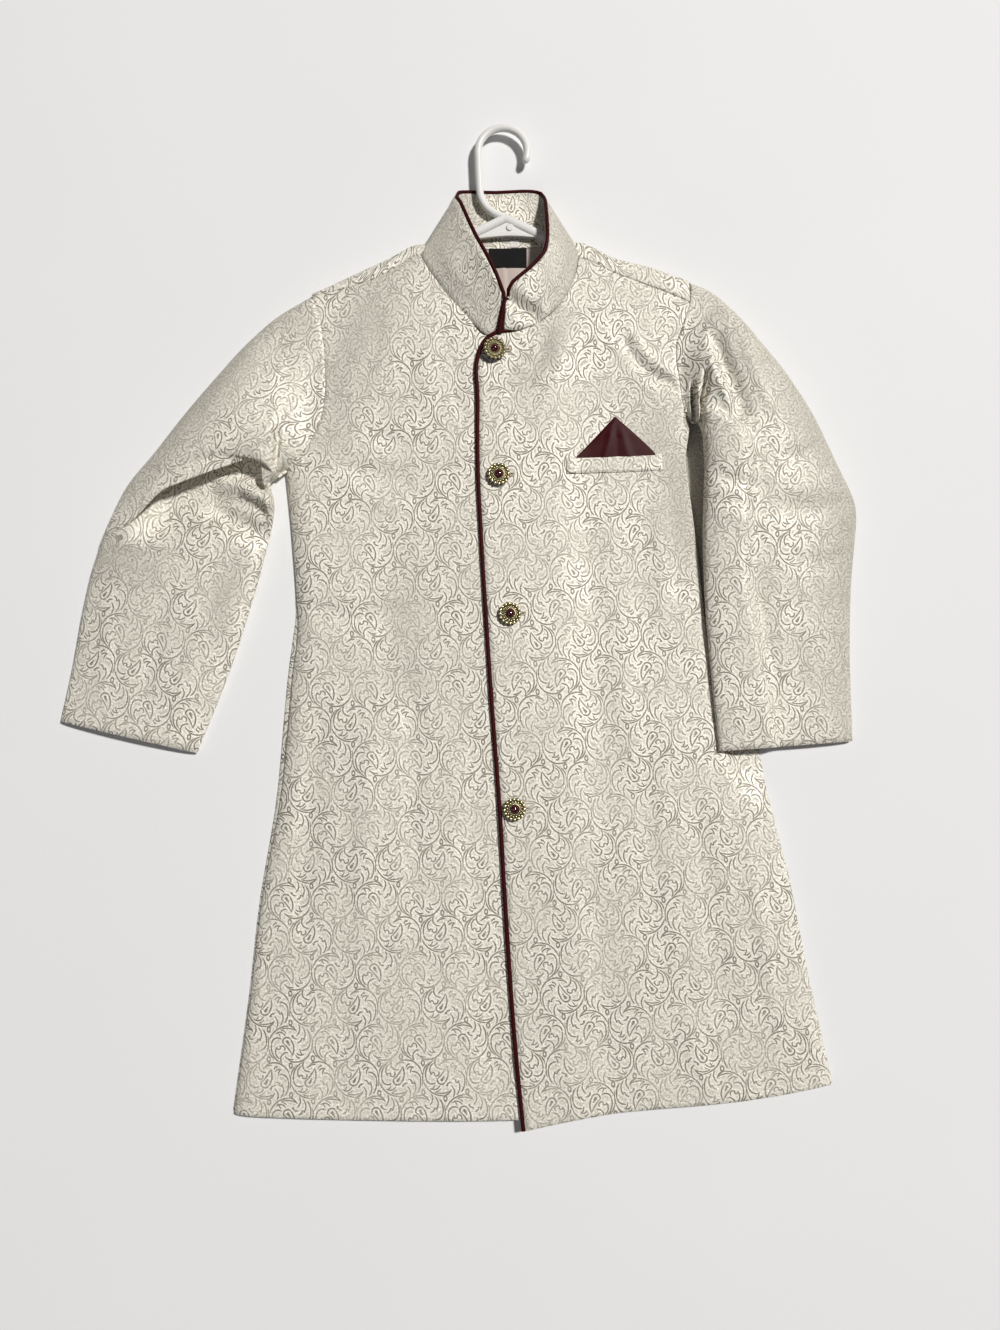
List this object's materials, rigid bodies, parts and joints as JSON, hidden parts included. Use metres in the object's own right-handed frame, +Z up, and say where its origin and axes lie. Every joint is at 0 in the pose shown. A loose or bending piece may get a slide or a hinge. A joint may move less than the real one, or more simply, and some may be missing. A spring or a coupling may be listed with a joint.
{
  "type": "child's sherwani coat on a hanger",
  "caption": "Long band-collared coat in ivory brocade with maroon piping and gilt buttons, buttoned and laid flat on its back over a plain white hanger.",
  "frame": {"origin": "on the surface the coat lies on, under the middle of its bounding box", "axes": "+Y from the hem to the collar and hook, +X to the wearer's left, +Z up from the surface through the buttoned front"},
  "size_m": [0.7015, 0.8797, 0.0343],
  "materials": {
    "ivory_brocade": "satin jacquard weave, scroll pattern in matte lines",
    "maroon_satin": "soft satin",
    "pink_lining": "plain smooth lining",
    "antique_gilt": "cast, antique gilt with dark hollows",
    "garnet_stone": "polished cabochon",
    "black_label": "plain woven",
    "white_tape": "plain woven tape",
    "white_plastic": "moulded"
  },
  "bodies": {
    "root": {"back_panel": "ivory_brocade", "front_over": "ivory_brocade", "front_under": "ivory_brocade", "sleeve_left": "ivory_brocade", "sleeve_right": "ivory_brocade", "collar_band": "ivory_brocade", "pocket_welt": "ivory_brocade", "back_neck_facing": "ivory_brocade", "back_lining": "pink_lining", "collar_piping": "maroon_satin", "front_piping": "maroon_satin", "pocket_square": "maroon_satin", "neck_label": "black_label", "size_tab": "white_tape", "hanger": "white_plastic", "button_1": "antique_gilt", "button_stone_1": "garnet_stone", "button_2": "antique_gilt", "button_stone_2": "garnet_stone", "button_3": "antique_gilt", "button_stone_3": "garnet_stone", "button_4": "antique_gilt", "button_stone_4": "garnet_stone"}
  },
  "joints": []
}
